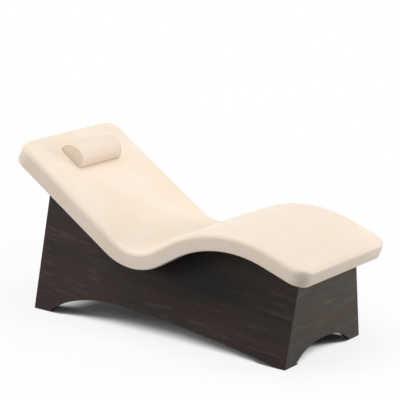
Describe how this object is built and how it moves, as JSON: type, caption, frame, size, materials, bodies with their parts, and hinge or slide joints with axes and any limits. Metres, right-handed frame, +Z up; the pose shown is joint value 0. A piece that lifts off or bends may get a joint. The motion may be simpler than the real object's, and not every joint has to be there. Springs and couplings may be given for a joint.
{
  "type": "massage table",
  "caption": "Fixed wave-shaped spa lounger: upholstered cushion with sloping back, seat hollow and knee hump on a dark wooden base with arched lower edges, with a half-round head pillow.",
  "frame": {"origin": "centre of the overall footprint, on the floor", "axes": "+X towards the foot end, +Y towards the left of the person lying on it, +Z up"},
  "size_m": [1.945, 0.8, 0.9516],
  "materials": {
    "veneer": "satin dark-stained wenge veneer",
    "beech": "sanded, unlacquered",
    "plywood": "sanded, unlacquered",
    "foam": "open-cell foam, matte",
    "soft_foam": "soft open-cell foam, matte",
    "upholstery": "smooth soft-touch synthetic leather",
    "dust_cloth": "matte non-woven cloth",
    "zinc": "zinc plated",
    "glide_plastic": "matte",
    "loop_tape": "looped pile",
    "hook_tape": "hooked pile"
  },
  "bodies": {
    "table": {"side_panel_right": "veneer", "side_panel_left": "veneer", "head_panel": "veneer", "foot_panel": "veneer", "corner_block_head_right": "beech", "corner_block_head_left": "beech", "corner_block_foot_right": "beech", "corner_block_foot_left": "beech", "bearer_right": "beech", "bearer_left": "beech", "head_rail": "beech", "back_rail": "beech", "seat_rail": "beech", "knee_rail": "beech", "foot_rail": "beech", "deck": "plywood", "foam_core": "foam", "comfort_layer": "soft_foam", "cushion_cover": "upholstery", "dust_cover": "dust_cloth", "t_nuts": "zinc", "deck_bolts": "zinc", "deck_washers": "zinc", "block_screws": "zinc", "bearer_screws": "zinc", "rail_screws": "zinc", "floor_glides": "glide_plastic", "loop_strips": "loop_tape"},
    "pillow": {"pillow_cover": "upholstery", "pillow_foam": "soft_foam", "pillow_board": "plywood", "hook_strips": "hook_tape"}
  },
  "joints": [
    {"name": "pillow_lift", "type": "slide", "parent": "table", "child": "pillow", "axis": [0.5562, 0, 0.8311], "range_m": [0, 0.15]}
  ]
}
